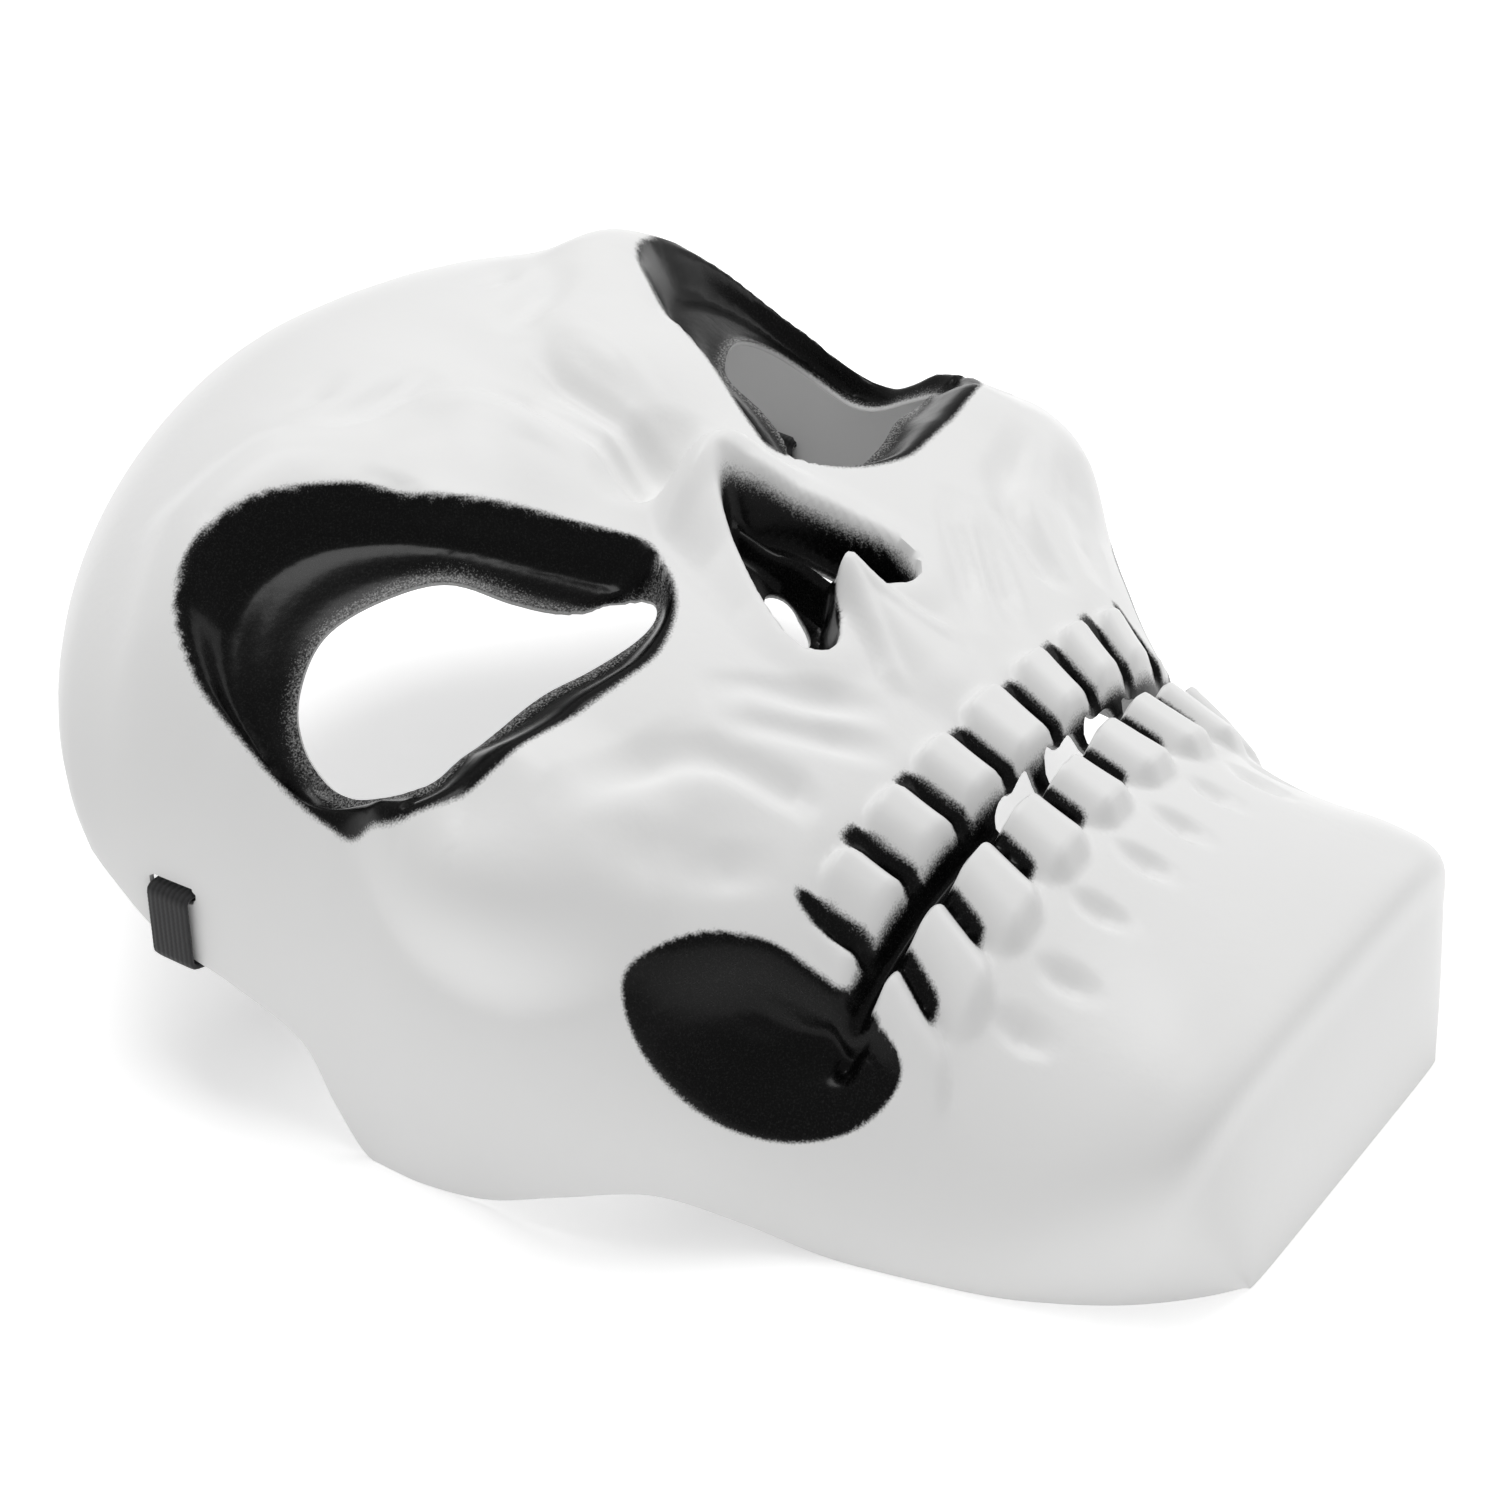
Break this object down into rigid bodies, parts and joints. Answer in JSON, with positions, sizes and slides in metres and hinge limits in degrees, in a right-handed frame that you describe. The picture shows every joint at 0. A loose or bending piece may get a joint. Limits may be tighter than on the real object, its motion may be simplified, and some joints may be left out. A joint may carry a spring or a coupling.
{
  "type": "skull mask",
  "caption": "Hollow moulded skull face mask with cut-out eyes, nose and gaps between the teeth, and a woven elastic strap through a slot at each temple.",
  "frame": {"origin": "on the surface that the mask lies on, under the middle of its width and length", "axes": "+Z out of the face, +Y from the chin to the forehead, X across the face"},
  "size_m": [0.1712, 0.2248, 0.0932],
  "materials": {
    "white_pvc": "satin white vacuum-formed PVC, airbrushed with black paint in the sockets, nose, cheek hollows and tooth gaps",
    "black_elastic": "matt black ribbed woven elastic"
  },
  "bodies": {
    "root": {"mask_shell": "white_pvc", "head_strap": "black_elastic"}
  },
  "joints": []
}
